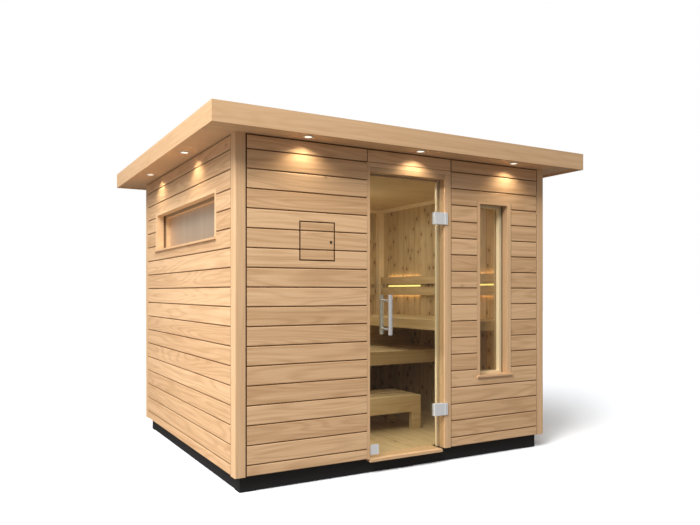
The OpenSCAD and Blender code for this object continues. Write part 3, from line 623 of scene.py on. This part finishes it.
# %% [markdown]
# ## Light strips
# The strips behind the backrest are plain bars. A bar is the unit cube's eight corners, scaled and
# shifted at once for all bars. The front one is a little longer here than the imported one, since the
# picture shows it across the whole front window.
# %% Strips
def bars(name, boxes, material, slot, *replaced):
    """Upright-edged bars: corner = low + unit corner x (high - low), for all boxes at once."""
    lows, highs = (np.array(side, float)[:, None, :] for side in zip(*boxes))
    unit = np.array([(i & 1, i >> 1 & 1, i >> 2) for i in range(8)], float)
    corners = (lows + unit * (highs - lows)).reshape(-1, 3)
    quads = np.array([(0, 2, 3, 1), (4, 5, 7, 6), (0, 1, 5, 4), (2, 6, 7, 3), (0, 4, 6, 2), (1, 3, 7, 5)])
    faces = (quads[None] + 8 * np.arange(len(boxes))[:, None, None]).reshape(-1, 4).tolist()
    mesh = bpy.data.meshes.new(name)
    mesh.from_pydata(corners.tolist(), [], faces)
    mesh.materials.append(material)
    piece = bpy.data.objects.new(name, mesh)
    scene.collection.objects.link(piece)
    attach(piece, "cabin")
    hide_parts(*replaced)
    print(name, "bars:", len(boxes))
    return piece


strip_lo, strip_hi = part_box("led_strips")
strip_spans = ((strip_hi.y - 0.564, strip_hi.y), (y0 + 0.158, y0 + 0.481))
bars("light_strips", [((strip_lo.x, p, strip_lo.z), (strip_hi.x, q, strip_hi.z)) for p, q in strip_spans],
     yellow_strip, "light_yellow", "led_strips")

# %% [markdown]
# ## Floor, daylight and a white studio
# The floor of the studio is pale and takes the cabin's soft shadow. To the camera the world is
# plain white, while the cabin itself is lit by a calm sky, a wide sun from the left and two large
# lamps on that side, as the brighter left wall asks for.
# %% Studio
def studio_floor():
    """A pale floor. To the camera it is bright paper; to other rays it is grey, so little bounces up."""
    g = Graph("studio_floor")
    spot = g.wire("ShaderNodeTexCoord", None, None, 3)
    seen = g.wire("ShaderNodeLightPath", None, None, 0)
    pale = g.blend(g.noise(spot, 0.4) * 0.2, (1.18, 1.22, 1.28), (1.16, 1.20, 1.26))
    matt = g.wire("ShaderNodeBsdfDiffuse", None, {"Color": g.blend(seen, (0.225, 0.215, 0.205), pale)})
    g.tree.links.new(matt.socket, g.output.inputs[0])
    side = np.linspace(-30.0, 30.0, 5)
    grid = np.stack(np.meshgrid(side, side, [0.0], indexing="ij"), -1).reshape(-1, 3)
    k = np.arange(4)
    first = (k[:, None] * 5 + k).ravel()
    mesh = bpy.data.meshes.new("studio_floor")
    mesh.from_pydata(grid.tolist(), [], np.stack([first, first + 5, first + 6, first + 1], 1).tolist())
    mesh.materials.append(g.material)
    piece = bpy.data.objects.new("studio_floor", mesh)
    scene.collection.objects.link(piece)
    return piece


studio_floor()
world = bpy.data.worlds.new("studio_sky")
scene.world = world
world.use_nodes = True
tree = world.node_tree
tree.nodes.clear()
rays, choose = tree.nodes.new("ShaderNodeLightPath"), tree.nodes.new("ShaderNodeMixShader")
sky, card = tree.nodes.new("ShaderNodeBackground"), tree.nodes.new("ShaderNodeBackground")
sky.inputs[0].default_value, sky.inputs[1].default_value = (1.0, 0.98, 0.955, 1.0), 0.34
card.inputs[0].default_value, card.inputs[1].default_value = (1.0, 1.0, 1.0, 1.0), 1.0
end = tree.nodes.new("ShaderNodeOutputWorld")
tree.links.new(rays.outputs["Is Camera Ray"], choose.inputs[0])
tree.links.new(sky.outputs[0], choose.inputs[1])
tree.links.new(card.outputs[0], choose.inputs[2])
tree.links.new(choose.outputs[0], end.inputs[0])


def lamp(name, kind, place, power, colour=(1.0, 1.0, 1.0), aim=None, turn=None, **settings):
    """A light, turned by turn, or else so that it looks from its place to aim."""
    data = bpy.data.lights.new(name, kind)
    data.energy, data.color = power, colour
    for key, value in settings.items():
        setattr(data, key, value)
    made = bpy.data.objects.new(name, data)
    made.location = place
    if turn is not None:
        made.rotation_euler = turn
    elif aim is not None:
        d = np.array(aim, float) - np.array(place, float)
        made.rotation_euler = (math.atan2(math.hypot(d[0], d[1]), -d[2]), 0.0,
                               math.atan2(d[1], d[0]) - math.pi / 2)
    made.visible_glossy = False
    scene.collection.objects.link(made)
    return made


lamp("sun", "SUN", (-6.6, -2.5, 7.6), 2.75, (1.0, 0.99, 0.97), (0, 0, 0), angle=math.radians(52))
side_fill = lamp("side_fill", "AREA", (-4.4, -4.0, 5.4), 270.0, (1.0, 0.97, 0.92), (0, 0, 0.9), size=2.0)
side_fill.visible_glossy = True
left_bounce = lamp("left_bounce", "AREA", (-3.1, -0.5, 0.1), 22.0, (1.0, 0.96, 0.90), (-1.3, 0.2, 0.6),
                   size=1.6)
left_bounce.visible_camera = False

# %% [markdown]
# ## The cabin's own lamps
# Each downlight under the eaves is a small spot that throws a warm pool on the boards below it.
# Inside, a hidden yellow strip glows behind the backrest, and a soft lamp under the ceiling stands
# for the daylight that the glass lets in.
# %% Lamps in the cabin
cans = np.array([v.co for v in nodes["downlights"].data.vertices])
keys = np.round(cans[:, :2] / 0.2).astype(int)
centres = []
for key in np.unique(keys, axis=0):
    near = cans[(np.abs(cans[:, :2] - key * 0.2) < 0.16).all(1)]
    middle = (near.min(0) + near.max(0)) / 2
    if all(np.linalg.norm(middle[:2] - c[:2]) > 0.2 for c in centres):
        centres.append(np.array([middle[0], middle[1], near[:, 2].min()]))
print("downlights:", len(centres))
for i, c in enumerate(centres):
    lamp(f"downlight_{i}", "SPOT", (c[0], c[1], c[2] - 0.006), 3.9, (1.0, 0.87, 0.66),
         (c[0], c[1] + 1e-4, 0.0), spot_size=math.radians(142), spot_blend=0.62, shadow_soft_size=0.02)
lamp("room_lamp", "AREA", (0.25, -0.1, high - 0.12), 7.0, (1.0, 0.98, 0.90), (0.25, -0.0999, 0.0), size=1.2)
lamp("room_glow", "POINT", (0.1, 0.15, high - 0.55), 6.2, (1.0, 0.97, 0.86), shadow_soft_size=0.25)
lamp("step_light", "AREA", (-0.05, -0.85, 0.80), 2.3, (1.0, 0.97, 0.88), turn=(0, 0, 0), size=0.4)
lamp("door_light", "AREA", (0.15, -0.93, high - 0.1), 0.9, (1.0, 0.97, 0.90), turn=(0, 0, 0), size=0.25)
rest_lo, rest_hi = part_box("backrests")
for i, (near_end, far_end) in enumerate(strip_spans):
    y, length = (near_end + far_end) / 2, far_end - near_end
    for side, z, turn in (("up", rest_hi.z - 0.012, (math.pi, 0, 0)), ("down", rest_lo.z + 0.012, (0, 0, 0))):
        lamp(f"glow_{side}_{i}", "AREA", (strip_hi.x - 0.014, y, z), 0.55 * length, (1.0, 0.66, 0.34),
             turn=turn, shape="RECTANGLE", size=0.026, size_y=length)
